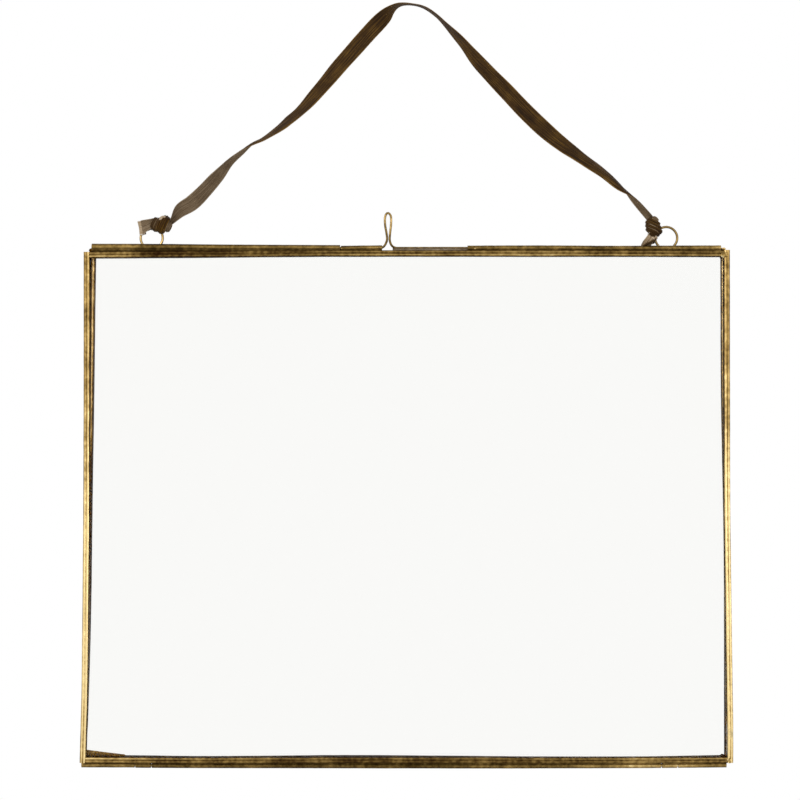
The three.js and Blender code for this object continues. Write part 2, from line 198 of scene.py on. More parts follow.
def noise_shift(tree, size, length, seed):
    """A vector of noise about zero, up to half of size each way, in waves of about that length."""
    scale = add_node(tree, "ShaderNodeMath", {0: 1.0, 1: length}, operation="DIVIDE")
    noise = add_node(tree, "ShaderNodeTexNoise", {
        "Vector": add_node(tree, "GeometryNodeInputPosition"), "W": seed, "Scale": scale, "Detail": 2.0,
    }, noise_dimensions="4D")
    centred = add_node(tree, "ShaderNodeVectorMath", {
        0: noise.outputs["Color"], 1: (0.5, 0.5, 0.5),
    }, operation="SUBTRACT")
    return add_node(tree, "ShaderNodeVectorMath", {0: centred, "Scale": size}, operation="SCALE")


def sweep_tree():
    """Carries a section along a path. Sway bends the path between its ends, lumps dent the surface, and the
    section's wear with painted shading is scaled by the path's rub with painted light, and its size by the
    path's thickness."""
    tree, given = start_tree("Section along a path", {
        "Section": "Object", "Finish": "Material", "Step": "Float", "Sway": "Float", "Sway Length": "Float",
        "Lump": "Float", "Lump Length": "Float", "Seed": "Int",
    })
    line = add_node(tree, "GeometryNodeMeshToCurve", {"Mesh": given["Geometry"]})
    smooth = add_node(tree, "GeometryNodeCurveSplineType", {"Curve": line}, spline_type="CATMULL_ROM")
    even = add_node(tree, "GeometryNodeResampleCurve", {
        "Curve": smooth, "Length": given["Step"],
    }, mode="LENGTH")
    share = add_node(tree, "GeometryNodeSplineParameter")
    half_turn = add_node(tree, "ShaderNodeMath", {0: share, 1: math.pi}, operation="MULTIPLY")
    window = add_node(tree, "ShaderNodeMath", {0: half_turn}, operation="SINE")
    bend = add_node(tree, "ShaderNodeVectorMath", {
        0: noise_shift(tree, given["Sway"], given["Sway Length"], given["Seed"]), "Scale": window,
    }, operation="SCALE")
    swayed = add_node(tree, "GeometryNodeSetPosition", {"Geometry": even, "Offset": bend})
    upright = add_node(tree, "GeometryNodeSetCurveNormal", {
        "Curve": swayed, "Normal": (0, 1, 0),
    }, mode="FREE")
    profile = add_node(tree, "GeometryNodeObjectInfo", {"Object": given["Section"]})
    outline = add_node(tree, "GeometryNodeMeshToCurve", {"Mesh": profile.outputs["Geometry"]})
    path, section = (
        add_node(tree, "GeometryNodeStoreNamedAttribute", {
            "Geometry": curve, "Name": label, "Value": share.outputs["Length"],
        }, data_type="FLOAT")
        for curve, label in ((upright, "travel"), (outline, "girth"))
    )
    thickness, shaded_wear, rub = (
        add_node(tree, "GeometryNodeInputNamedAttribute", {"Name": label}, data_type="FLOAT")
        for label in ("thickness", "wear", "rub")
    )
    scale = add_node(tree, "GeometryNodeSwitch", {
        "Switch": thickness.outputs["Exists"], "False": 1.0, "True": thickness,
    }, input_type="FLOAT")
    tube = add_node(tree, "GeometryNodeCurveToMesh", {
        "Curve": path, "Profile Curve": section, "Scale": scale, "Fill Caps": True,
    })
    # Wear with painted shading from the section, times rub with painted light from the path.
    wear_shading_and_light = add_node(tree, "ShaderNodeMath", {0: shaded_wear, 1: rub}, operation="MULTIPLY")
    finished = add_node(tree, "GeometryNodeStoreNamedAttribute", {
        "Geometry": tube, "Name": "wear", "Value": wear_shading_and_light,
    }, data_type="FLOAT")
    dented = add_node(tree, "GeometryNodeSetPosition", {
        "Geometry": finished, "Offset": noise_shift(tree, given["Lump"], given["Lump Length"], given["Seed"]),
    })
    end_tree(tree, dented, given["Finish"])
    return tree


def line_mesh(name, points, closed=False, **attributes):
    """A mesh of edges through points, with a number for each point in each attribute."""
    mesh = bpy.data.meshes.new(name)
    edges = [(k, k + 1) for k in range(len(points) - 1)]
    if closed:
        edges.append((len(points) - 1, 0))
    mesh.from_pydata([Vector(p).to_3d() for p in points], edges, [])
    for label, values in attributes.items():
        mesh.attributes.new(label, "FLOAT", "POINT").data.foreach_set("value", values)
    return mesh


def new_object(name, data):
    """An object of this data, in the scene."""
    made = bpy.data.objects.new(name, data)
    bpy.context.scene.collection.objects.link(made)
    return made


def section_object(name, points, wear):
    """A closed section, run anticlockwise so that what is swept from it faces outwards."""
    ahead = points[1:] + points[:1]
    area = sum(a[0] * b[1] - b[0] * a[1] for a, b in zip(points, ahead))
    order = 1 if area > 0 else -1
    return new_object(name, line_mesh(name, points[::order], closed=True, wear=wear[::order]))


def arc(centre, radius, start, end, steps):
    """Points round a centre from one angle to another, in degrees."""
    angles = [math.radians(start + (end - start) * k / steps) for k in range(steps + 1)]
    return [(centre[0] + radius * math.cos(a), centre[1] + radius * math.sin(a)) for a in angles]


def grown(name, mesh, tree, values):
    """An object that holds the plain mesh which a tree makes from a start mesh."""
    piece = new_object(name, mesh)
    modifier = piece.modifiers.new(tree.name, "NODES")
    modifier.node_group = tree
    sockets = {i.name: i.identifier for i in tree.interface.items_tree if i.in_out == "INPUT"}
    for label, value in values.items():
        modifier[sockets[label]] = value
    evaluated = piece.evaluated_get(bpy.context.evaluated_depsgraph_get())
    made = bpy.data.meshes.new_from_object(evaluated)
    piece.modifiers.remove(modifier)
    piece.data = made
    made.name = name
    made.shade_smooth()
    made.set_sharp_from_angle(angle=SMOOTH_ANGLE)
    return piece


def join_frame(piece, body, slot, *nodes):
    """Fixes a finished piece to its body, in place of its CAD nodes if it stands for any."""
    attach(piece, body)
    if nodes:
        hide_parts(*nodes)


MIX_A, MIX_B, MIX_RESULT = 6, 7, 2
SWEEP_SIZE = 42 * MM
PATINA_SIZE = 9 * MM
MOTTLE_SIZE = 1.6 * MM
PIT_SIZE = 0.35 * MM
STREAK_WIDTH = 0.5 * MM
STREAK_LENGTH = 14 * MM
TIN = "#8c8266"
TIN_FROM, TIN_TO, TIN_COVER = 0.68, 0.8, 0.7


def aged_brass(name, stops, wear_and_shading_share, dull, shine):
    """Antiqued brass. Its brown patina is thick where wear is 0 and rubbed away where wear is 1, in long
    sweeps, clouds and fine mottles, with drawn streaks along it and grey smears of tin where solder ran. The
    wear value also carries painted shade and painted highlights, so part of its dark and bright is painted
    light."""
    material, tree, place = start_material(name)
    sweeps, clouds, mottle, pits = (
        add_node(tree, "ShaderNodeTexNoise", {"Vector": place, "Scale": 1 / size, "Detail": detail})
        for size, detail in ((SWEEP_SIZE, 2.0), (PATINA_SIZE, 5.0), (MOTTLE_SIZE, 4.0), (PIT_SIZE, 2.0))
    )
    travel, girth, wear = (
        add_node(tree, "ShaderNodeAttribute", attribute_name=label).outputs["Fac"]
        for label in ("travel", "girth", "wear")
    )
    lengthwise, crosswise = (
        add_node(tree, "ShaderNodeMath", {0: way, 1: size}, operation="DIVIDE")
        for way, size in ((travel, STREAK_LENGTH), (girth, STREAK_WIDTH))
    )
    drawn = add_node(tree, "ShaderNodeCombineXYZ", {"X": lengthwise, "Y": crosswise})
    streaks = add_node(tree, "ShaderNodeTexNoise", {"Vector": drawn, "Scale": 1.0, "Detail": 3.0})
    patterns = ((sweeps, 0.5), (clouds, 0.7), (mottle, 0.7), (streaks, 0.4))
    middle = (1 - wear_and_shading_share) / 2 - sum(share for _, share in patterns) / 2
    amount = add_node(tree, "ShaderNodeMath", {0: wear, 1: wear_and_shading_share, 2: middle}, operation="MULTIPLY_ADD")
    for noise, share in patterns:
        amount = add_node(tree, "ShaderNodeMath", {0: noise, 1: share, 2: amount}, operation="MULTIPLY_ADD")
    patina_and_shading = add_node(tree, "ShaderNodeValToRGB", {"Fac": amount}, stops=stops)
    smear = add_node(tree, "ShaderNodeMapRange", {
        "Value": clouds, "From Min": TIN_FROM, "From Max": TIN_TO, "To Min": 0.0, "To Max": TIN_COVER,
    })
    colour = add_node(tree, "ShaderNodeMix", {
        "Factor": smear, MIX_A: patina_and_shading, MIX_B: linear(TIN),
    }, data_type="RGBA")
    roughness = add_node(tree, "ShaderNodeMapRange", {"Value": amount, "To Min": dull, "To Max": shine})
    relief = add_node(tree, "ShaderNodeMath", {0: mottle, 1: 2.0, 2: pits}, operation="MULTIPLY_ADD")
    bump = add_node(tree, "ShaderNodeBump", {"Height": relief, "Strength": 0.5, "Distance": 0.06 * MM})
    return end_material(material, {
        "Base Color": colour.outputs[MIX_RESULT], "Metallic": 1.0, "Roughness": roughness, "Normal": bump,
    })


def channel_section(leaf, bead, bead_places):
    """The channel's section: x back from the bead crests, y in from the outer edge over the glass. Its front
    lip is pressed into low beads of one half width at these places, which wear bright along their crests.
    Their wear values also hold a painted highlight on the crests and painted shade on the flanks, in the
    grooves, at the lip's two edges and on the outer bead. The front leaf's back corner is rolled rounder, so
    that it passes the hinge tubes as the leaf opens."""
    waves = [(0, 1.0)]
    for place in bead_places:
        steps = [k / BEAD_STEPS for k in range(BEAD_STEPS + 1)]
        waves += [(place + bead * (2 * s - 1), 0.5 + 0.5 * math.cos(2 * math.pi * s)) for s in steps]
    waves.append((LIP_REACH, 1.0))
    waves = [point for point, before in zip(waves, [(-1, -1)] + waves) if point[0] - before[0] > MM / 1000]
    lip = [(u, BEAD_RISE * low) for u, low in waves]
    # Painted highlight on each crest, falling to painted shade down its flanks and in the grooves, over the
    # wear.
    crests = [GROOVE_WEAR_AND_SHADE + (1 - GROOVE_WEAR_AND_SHADE) * (1 - low) ** 2 for _, low in waves]
    if len(bead_places) > 1:
        crests = [wear * (OUTER_BEAD_WEAR_AND_SHADE if u < 2 * BEAD else 1) for wear, (u, _) in zip(crests, waves)]
    crests[0] = OUTER_EDGE_WEAR_AND_SHADE
    crests[-2:] = INNER_EDGE_WEAR_AND_SHADE[leaf]
    back_corner = BACK_CORNERS[leaf]
    web = [(0, BEAD_RISE + (CHANNEL_DEPTH - back_corner - BEAD_RISE) * k / 4) for k in (4, 3, 2, 1)]
    rest = [
        (LIP_REACH, FRONT_LIP_DEPTH), (SHEET, FRONT_LIP_DEPTH), (SHEET, CHANNEL_DEPTH - SHEET),
        (LIP_REACH, CHANNEL_DEPTH - SHEET), (LIP_REACH, CHANNEL_DEPTH - SHEET / 4),
        (LIP_REACH - SHEET / 4, CHANNEL_DEPTH), (0.65 * LIP_REACH, CHANNEL_DEPTH),
    ]
    corner = arc((back_corner, CHANNEL_DEPTH - back_corner), back_corner, 90, 180, 3)[:-1]
    wear = [0.5, 0.4, 0.35, 0.25] + crests + [0, 0, 0, 0.2, 0.7, 0.7, 0.4] + [0.6, 0.8, 0.7]
    return section_object(f"{leaf} channel section", [(v, u) for u, v in web + lip + rest + corner], wear)


def rail_path(leaf, side):
    """A rail's outer front edge, bowed, and its rub with painted light at each point. The four run
    anticlockwise round the leaf, seen from the front."""
    low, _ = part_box(f"{leaf}_left_channel")
    _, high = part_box(f"{leaf}_right_channel")
    bow = RAIL_BOWS[f"{leaf}_{side}"]
    if side in ("left", "right"):
        edge, outwards = (low.x, -MM) if side == "left" else (high.x, MM)
        top = high.z + RAIL_TOPS[f"{leaf}_{side}"] * MM
        points = [(edge + out * outwards, low.y, top + share * (low.z - top)) for share, out, _ in bow]
    else:
        corner = 0 if side == "top" else -1
        left = low.x - RAIL_BOWS[f"{leaf}_left"][corner][1] * MM + BUTT
        right = high.x + RAIL_BOWS[f"{leaf}_right"][corner][1] * MM - BUTT
        edge, outwards = (high.z, MM) if side == "top" else (low.z, -MM)
        points = [(left + share * (right - left), low.y, edge + out * outwards) for share, out, _ in bow]
    order = 1 if side in ("left", "bottom") else -1
    return points[::order], [rub for _, _, rub in bow][::order]


channel_brass = aged_brass("Antiqued brass channel", [
    (0.0, "#2c1a0a"), (0.2, "#4f3b1b"), (0.45, "#856b3b"), (0.7, "#b3955b"), (1.0, "#f0d69a"),
], wear_and_shading_share=0.95, dull=0.5, shine=0.25)
# The back leaf's brass is a second copy painted for shade: warmer and, with its low rub, darker where it lies
# behind the front leaf and its glass.
back_brass_in_shade = aged_brass("Back-leaf brass channel in shade", [
    (0.0, "#3a2000"), (0.2, "#4e2f04"), (0.45, "#7d5e28"), (0.7, "#b3915a"), (1.0, "#e6c88c"),
], wear_and_shading_share=1.1, dull=0.5, shine=0.3)
swept = sweep_tree()


def swept_piece(name, path, section, finish, step, sway, lump, seed):
    """A section carried along a path, a line mesh. Sway and lump are each a size and a wavelength."""
    return grown(name, path, swept, {
        "Section": section, "Finish": finish, "Step": step, "Sway": sway[0], "Sway Length": sway[1],
        "Lump": lump[0], "Lump Length": lump[1], "Seed": seed,
    })


for leaf, seed, bead, bead_places, finish in (
    ("back_leaf", 3, BACK_BEAD, [BACK_BEAD_PLACE], back_brass_in_shade),
    ("front_leaf", 11, BEAD, [BEAD, 3 * BEAD], channel_brass),
):
    section = channel_section(leaf, bead, bead_places)
    for turn, side in enumerate(("left", "bottom", "right", "top")):
        name = f"{leaf}_{side}_rail"
        points, rub = rail_path(leaf, side)
        path = line_mesh(name, points, rub=rub)
        rail = swept_piece(name, path, section, finish, RAIL_STEP, RAIL_SWAY, RAIL_LUMP, seed + turn)
        join_frame(rail, leaf, "brass_channel", f"{leaf}_{side}_channel")
    bpy.data.objects.remove(section)

# Solder fills the inner corner of each leaf's lips and closes the side channels' open ends. It is tin solder,
# melted in with an iron and washed brown with the brass, so it sets in a smooth mound.
SOLDER_STEPS = 5
FILLET = 1.9 * MM
END_CAP = (1.1 * MM, 1.45 * MM, 0.5 * MM)

# How full each corner's fillet is, against the full one at the front leaf's top right, and the long wedge
# that the solder ran into at the back leaf's bottom left: its length and its section in mm.
FILLET_SHARES = {
    "front_leaf_top_right": 1.0, "front_leaf_top_left": 0.55, "front_leaf_bottom_left": 0.25,
    "back_leaf_top_left": 0.6,
}
FILLET_SHARE = 0.5
FILLET_SINK = 0.42 * MM
FILLET_DEPTH = 0.62 * MM
WEDGE_START = -2.0 * MM
WEDGE_LENGTH = 16 * MM
WEDGE_LUMP = (0.2 * MM, 2 * MM)
WEDGE_SECTION = [(0, -0.8), (0.9, -0.8), (0.9, 2.0), (0.6, 2.5), (0.2, 2.5), (0, 2.1)]
FULL_FILLET = (1.45 * MM, 0.5 * MM, 1.25 * MM)
FULL_FILLET_SHIFT = (0.15 * MM, -0.6 * MM, 0.5 * MM)


def mound_tree():
    """A drop of solder: a ball, stretched to its sizes, dented by noise, turned about Y and put in place."""
    tree, given = start_tree("Solder mound", {
        "Finish": "Material", "Sizes": "Vector", "Place": "Vector", "Turn": "Vector", "Lump": "Float",
        "Lump Length": "Float", "Seed": "Int",
    })
    ball = add_node(tree, "GeometryNodeMeshIcoSphere", {"Radius": 1.0, "Subdivisions": SOLDER_STEPS})
    placed = add_node(tree, "GeometryNodeTransform", {
        "Geometry": ball, "Translation": given["Place"], "Rotation": given["Turn"], "Scale": given["Sizes"],
    })
    dented = add_node(tree, "GeometryNodeSetPosition", {
        "Geometry": placed, "Offset": noise_shift(tree, given["Lump"], given["Lump Length"], given["Seed"]),
    })
    end_tree(tree, dented, given["Finish"])
    return tree


def melted_solder():
    """Tin solder with a thin wash of brass: a rippled skin in mottled tones."""
    material, tree, place = start_material("Brass-washed tin solder")
    wash, pits = (
        add_node(tree, "ShaderNodeTexNoise", {"Vector": place, "Scale": 1 / size, "Detail": detail})
        for size, detail in ((MOTTLE_SIZE, 4.0), (PIT_SIZE, 2.0))
    )
    colour = add_node(tree, "ShaderNodeValToRGB", {"Fac": wash}, stops=[
        (0.3, "#3a2a14"), (0.45, "#7d6436"), (0.58, "#b89a5e"), (0.75, "#d9cda8"),
    ])
    bump = add_node(tree, "ShaderNodeBump", {"Height": pits, "Strength": 0.4, "Distance": 0.05 * MM})
    return end_material(material, {
        "Base Color": colour, "Metallic": 1.0, "Roughness": 0.34, "Normal": bump,
    })


solder = melted_solder()
mound = mound_tree()


def solder_mound(name, place, sizes, turn=0.0, seed=0, lump=0.5 * MM, finish=solder):
    """A drop of solder at a place, with its half sizes, turned about Y by an angle in degrees."""
    return grown(name, bpy.data.meshes.new(name), mound, {
        "Finish": finish, "Sizes": sizes, "Place": place, "Turn": (0, math.radians(turn), 0),
        "Lump": lump, "Lump Length": 1.6 * MM, "Seed": seed,
    })


for leaf, brown, end_finish in (
    ("front_leaf", channel_brass, solder), ("back_leaf", back_brass_in_shade, back_brass_in_shade),
):
    for corner, (right, up) in {
        "top_left": (-1, 1), "top_right": (1, 1), "bottom_left": (-1, -1), "bottom_right": (1, -1),
    }.items():
        node, name = f"{leaf}_solder_{corner}", f"{corner}_solder_{leaf}"
        low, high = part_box(node)
        size = FILLET * FILLET_SHARES.get(f"{leaf}_{corner}", FILLET_SHARE)
        inner = Vector(((low.x + high.x) / 2, low.y + FILLET_SINK, (low.z + high.z) / 2))
        middle = inner + Vector((right * 0.5 * FILLET, 0, up * 0.5 * FILLET))
        if node == "back_leaf_solder_bottom_left":
            section = section_object("wedge section", [(y * MM, z * MM) for y, z in WEDGE_SECTION], [0.4] * 6)
            line = [(low.x + WEDGE_START + WEDGE_LENGTH * share, low.y, low.z) for share in (0, 0.5, 1)]
            path = line_mesh("wedge", line, rub=[1] * 3, thickness=[1, 0.6, 0.25])
            drop = swept_piece(name, path, section, brown, RAIL_STEP, NO_SWAY, WEDGE_LUMP, seed=9)
            bpy.data.objects.remove(section)
        elif size == FILLET:
            drop = solder_mound(name, middle + Vector(FULL_FILLET_SHIFT), FULL_FILLET, seed=8)
        else:
            drop = solder_mound(
                name, middle, (size, FILLET_DEPTH, 0.9 * size), turn=45 * right * up, seed=5 + 2 * right + up,
                finish=brown,
            )
        join_frame(drop, leaf, "solder", node)
        side = "right" if right > 0 else "left"
        end = Vector(rail_path(leaf, side)[0][0 if (up > 0) == (side == "left") else -1])
        end += Vector((-right * LIP_REACH / 2, CHANNEL_DEPTH / 2 + 0.1 * MM, -up * 0.3 * MM))
        cap = solder_mound(
            f"{corner}_end_solder_{leaf}", end, END_CAP, seed=15 + 2 * right + up, lump=0.4 * MM,
            finish=end_finish,
        )
        join_frame(cap, leaf, "solder")

# Rolled tubes of the same sheet lie along the top and bottom edges, each with a flange soldered to its leaf.
# The back leaf's three at the bottom, turn about with the front leaf's two, are the hinge. The top ones guide
# the sliding bolt.
TUBE_RADIUS = 1.15 * MM
TUBE_BORE = 0.75 * MM
TUBE_STAND_OFF = 1.25 * MM
TUBE_STEP = 1.2 * MM
TUBE_SWAY = (0.12 * MM, 30 * MM)
TUBE_LUMP = (0.09 * MM, 2.4 * MM)
CURL_END = -396
TROUGH_CURL_END = -168
BORE_END = -68
SKIRT_START = -146
ARC_STEP = 11
FLANGE = [(0.3 * MM, -0.8 * MM), (3.3 * MM, -0.8 * MM), (3.3 * MM, -1.8 * MM), (0.3 * MM, -1.8 * MM)]
SKIRT = [(-0.15 * MM, -1.8 * MM), (-0.15 * MM, -1.25 * MM), (-0.95 * MM, -1.25 * MM)]
TOP_AXIS = CHANNEL_HIGH.z + TUBE_STAND_OFF
BOTTOM_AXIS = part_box("front_leaf_bottom_channel")[0].z - TUBE_STAND_OFF

# Each tube's share of the way to the right, how far it lies above its straight place there in mm, its
# thickness against the plain tube's, and how bright it is: rubbed wear with painted light.
TUBE_BOWS = {
    "top_tube_left": [(0, 0.35, 1.22, 0.6), (0.3, 0.3, 1.17, 0.5), (0.6, 0.15, 1.08, 0.5), (1, 0.05, 1, 0.6)],
    "bolt_trough": [(0, 0, 1, 0.5), (0.3, 0, 1, 1.8), (0.75, 0, 1, 1.8), (1, 0, 1, 0.5)],
    "latch_tube": [(0, -0.25, 1, 0.5), (1, -0.05, 1, 0.75)],
    "top_tube_right": [(0, -0.15, 1, 0.55), (0.3, -0.05, 1, 0.5), (0.6, -0.2, 1, 0.5), (1, -0.05, 1, 0.7)],
    "hinge_tube_left": [(0, 0.2, 1, 0.8), (1, 0.15, 1, 0.7)],
    "hinge_knuckle_left": [(0, 0.05, 1, 0.6), (1, 0, 1, 0.6)],
    "hinge_tube_middle": [
        (0, 0, 1, 0.55), (0.1, -0.1, 1, 0.4), (0.4, -0.2, 1, 0.3), (0.65, -0.25, 1, 0.35),
        (0.9, -0.15, 1, 0.65), (1, -0.05, 1, 0.8),
    ],
    "hinge_knuckle_right": [(0, -0.05, 1, 0.75), (1, 0, 1, 0.75)],
    "hinge_tube_right": [(0, 0, 1, 0.7), (1, 0.2, 1, 0.7)],
}
HINGE_STRETCH = 2.0 * MM


def tube_section(name, flange_way, up, curl_end):
    """The rolled tube: a flange on the leaf's edge, a skirt of solder that closes its seam with the leaf,
    then the curl, open along a slit above the flange. Its wear holds a painted highlight along the curl's
    front and painted shade at its top and bottom."""
    outside, inside = (
        arc((0, 0), radius, start, end, math.ceil(abs(end - start) / ARC_STEP))
        for radius, start, end in ((TUBE_RADIUS, SKIRT_START, curl_end), (TUBE_BORE, curl_end, BORE_END))
    )
    # A painted highlight along the curl's front, falling to painted shade at its top and bottom.
    front = [0.3 + 0.7 * max(0.0, -y * flange_way / TUBE_RADIUS) ** 3 for y, z in outside]
    wear = front + [0.0] * len(inside) + [0.2, 0.5, 0.5, 0.1] + [0.3] * len(SKIRT)
    points = [(y * flange_way, z * up) for y, z in outside + inside + FLANGE + SKIRT]
    return section_object(name, points, wear)


tube_brass = aged_brass("Antiqued brass tube", [
    (0.0, "#2a1b0b"), (0.25, "#4d3b1a"), (0.5, "#7b6335"), (0.75, "#a88a50"), (1.0, "#ecd090"),
], wear_and_shading_share=0.85, dull=0.52, shine=0.28)
# The trough under the bolt's arm is pale grey brass, brightest in the middle of its length.
pale_trough_brass = aged_brass("Pale grey brass trough", [
    (0.0, "#3a2f20"), (0.3, "#7a6b57"), (0.6, "#9c8d78"), (1.0, "#d6c8ae"),
], wear_and_shading_share=0.5, dull=0.45, shine=0.3)
TROUGH_START = -5.6 * MM

# Drops of solder at the ends of the tubes and of the front leaf's side rails, in the gap between the left
# tubes and where the bolt goes in. Each has its body, place and half sizes in mm.
SOLDER_DROPS = [
    ("top_tube_gap_drop", "back_leaf", (-26.8, 1.0, -99.6), (0.6, 0.45, 0.75), back_brass_in_shade),
    ("top_tube_left_dot", "back_leaf", (-26.2, -0.95, -99.2), (0.5, 0.35, 0.35), solder),
    ("latch_tube_dot", "front_leaf", (-11.3, -1.15, -98.95), (0.7, 0.35, 0.4), solder),
    ("top_tube_left_drop", "back_leaf", (-128.1, -0.1, -99.7), (1.1, 0.6, 0.85), back_brass_in_shade),
    ("front_leaf_left_end_drop", "front_leaf", (-130.9, -3.3, -308.2), (0.8, 0.45, 0.5), solder),
    ("front_leaf_right_end_drop", "front_leaf", (130.9, -3.45, -306.8), (0.9, 0.4, 1.2), solder),
    ("top_tube_right_dot", "back_leaf", (27.9, -0.95, -99.2), (0.45, 0.35, 0.35), solder),
    ("top_tube_end_curl", "back_leaf", (129.0, -0.2, -99.1), (1.0, 0.6, 0.55), solder),
    ("top_tube_end_drop", "back_leaf", (128.9, 0.2, -100.1), (1.5, 0.5, 0.8), back_brass_in_shade),
]
for section_name, way, up, axis, body, curl_end, names in (
    ("top back tube", 1, 1, TOP_AXIS, "back_leaf", CURL_END, ("top_tube_left", "top_tube_right")),
    ("bolt trough", 1, 1, TOP_AXIS, "back_leaf", TROUGH_CURL_END, ("bolt_trough",)),
    ("latch tube", -1, 1, TOP_AXIS, "front_leaf", CURL_END, ("latch_tube",)),
    ("hinge tube", 1, -1, BOTTOM_AXIS, "back_leaf", CURL_END,
     ("hinge_tube_left", "hinge_tube_middle", "hinge_tube_right")),
    ("hinge knuckle", -1, -1, BOTTOM_AXIS, "front_leaf", CURL_END,
     ("hinge_knuckle_left", "hinge_knuckle_right")),
):
    section = tube_section(section_name, way, up, curl_end)
    for count, node in enumerate(names):
        is_trough = node == "bolt_trough"
        start = TROUGH_START if is_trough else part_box(node)[0].x
        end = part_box("top_tube_right")[0].x if is_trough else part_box(node)[1].x
        if node == "hinge_tube_left":
            start -= HINGE_STRETCH
        shares, rises, thicks, rubs_and_light = zip(*TUBE_BOWS[node])
        line = [(start + share * (end - start), 0, axis + rise * MM) for share, rise in zip(shares, rises)]
        path = line_mesh(node, line, thickness=thicks, rub=rubs_and_light)
        finish = pale_trough_brass if is_trough else tube_brass
        tube = swept_piece(
            f"rolled_{node}", path, section, finish, TUBE_STEP, TUBE_SWAY, TUBE_LUMP, seed=21 + count,
        )
        join_frame(tube, body, "brass_tube", *([] if is_trough else [node]))
    bpy.data.objects.remove(section)
for name, body, place, sizes, finish in SOLDER_DROPS:
    drop = solder_mound(name, Vector(place) * MM, Vector(sizes) * MM, seed=27, lump=0.3 * MM, finish=finish)
    join_frame(drop, body, "solder")

# The hinge pin is a straight length of 1.2 mm brass wire through all five tubes. The bolt is one 0.95 mm wire
# bent into a hairpin loop between its arms, and it slides in the top tubes. Drawn wire keeps a fine polish.
PIN_RADIUS = 0.6 * MM
BOLT_RADIUS = 0.475 * MM
WIRE_SIDES = 14
WIRE_STEP = 0.5 * MM
WIRE_LUMP = (0.05 * MM, 1.8 * MM)

# The loop's route in mm, right of the frame's middle and above the tubes' axis.
BOLT_LOOP = [
    (-10.6, 0.05), (-9.8, 0.2), (-9.0, 0.8), (-8.3, 2.0), (-7.85, 3.6), (-8.1, 6.0), (-8.6, 8.9),
    (-8.75, 11.6), (-8.5, 13.2), (-7.9, 14.1), (-7.2, 14.15), (-6.5, 13.4), (-6.2, 11.9), (-6.3, 8.9),
    (-6.65, 6.0), (-6.8, 3.6), (-6.5, 2.0), (-5.8, 0.8), (-4.8, 0.2), (-3.8, 0.0),
]
ARM_STEP = 1.2 * MM
wire_brass = aged_brass("Drawn brass wire", [
    (0.0, "#2c1e0c"), (0.25, "#5c4826"), (0.5, "#8f7646"), (0.75, "#c9aa70"), (1.0, "#f6e2b0"),
], wear_and_shading_share=0.75, dull=0.42, shine=0.2)


def wire(name, points, radius, rub, seed, closed=False, sway=NO_SWAY):
    """A length of round wire along points, or a ring of it, painted with a highlight along its front and back
    and painted shade along its edges.
    """
    outline = arc((0, 0), radius, 0, 360, WIRE_SIDES)[:-1]
    # A painted highlight along the wire's front and back, falling to painted shade along its edges.
    wear = [0.15 + 0.85 * (y / radius) ** 4 for y, _ in outline]
    section = section_object("wire section", outline, wear)
    path = line_mesh(name, points, closed, rub=[rub] * len(points))
    piece = swept_piece(name, path, section, wire_brass, WIRE_STEP, sway, WIRE_LUMP, seed)
    bpy.data.objects.remove(section)
    return piece


def bolt_arm(tip, bend):
    """A straight arm of the bolt, from its tip to just before the bend."""
    steps = math.ceil(abs(bend - tip) / ARM_STEP)
    return [(tip + (bend - tip) * k / steps, 0, TOP_AXIS) for k in range(steps)]


low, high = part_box("hinge_pin")
knuckles = [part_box(f"hinge_knuckle_{side}")[0].x for side in ("left", "right")]
pin_line = [
    (low.x - HINGE_STRETCH, 0, BOTTOM_AXIS + 0.1 * MM), (knuckles[0], 0, BOTTOM_AXIS),
    (0, 0, BOTTOM_AXIS - 0.15 * MM), (knuckles[1], 0, BOTTOM_AXIS), (high.x, 0, BOTTOM_AXIS),
]
pin = wire("pin_wire", pin_line, PIN_RADIUS, 0.9, seed=31)
join_frame(pin, "back_leaf", "brass_wire", "hinge_pin")
low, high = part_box("closure_bolt")
loop_line = [(x * MM, 0, TOP_AXIS + z * MM) for x, z in BOLT_LOOP]
bolt_line = bolt_arm(low.x, loop_line[0][0]) + loop_line + bolt_arm(high.x, loop_line[-1][0])[::-1]
bolt = wire("bolt_wire", bolt_line, BOLT_RADIUS, 0.45, seed=32)
join_frame(bolt, "closure_bolt", "brass_wire", "closure_bolt")

# Two rings of 1 mm wire stand behind the top tubes, soldered to their flanges, and take the ribbon.
# Each was wound round a rod and closed by the same solder that seats it.
RING_RADIUS = 4.5 * MM
RING_WIRE = 0.5 * MM
RING_STEPS = 48
RING_SWAY = (0.1 * MM, 12 * MM)
# How bright each ring's wire is: rubbed wear with painted light.
RING_RUBS_AND_LIGHT = {"left": 0.9, "right": 0.65}
for side in ("left", "right"):
    low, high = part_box(f"hanging_ring_{side}")
    middle = (low + high) / 2
    circle = arc((middle.x, middle.z), RING_RADIUS, -90, 270, RING_STEPS)[:-1]
    circle = [(x, middle.y, z) for x, z in circle]
    ring = wire(f"{side}_ring_wire", circle, RING_WIRE, RING_RUBS_AND_LIGHT[side], 33, closed=True, sway=RING_SWAY)
    join_frame(ring, "back_leaf", "brass_wire", f"hanging_ring_{side}")
    low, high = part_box(f"ring_solder_{side}")
    half_seat = ((high.x - low.x) / 2, 0.6 * MM, 0.55 * MM)
    seat = solder_mound(f"{side}_ring_solder", (low + high) / 2, half_seat, seed=34)
    join_frame(seat, "back_leaf", "solder", f"ring_solder_{side}")

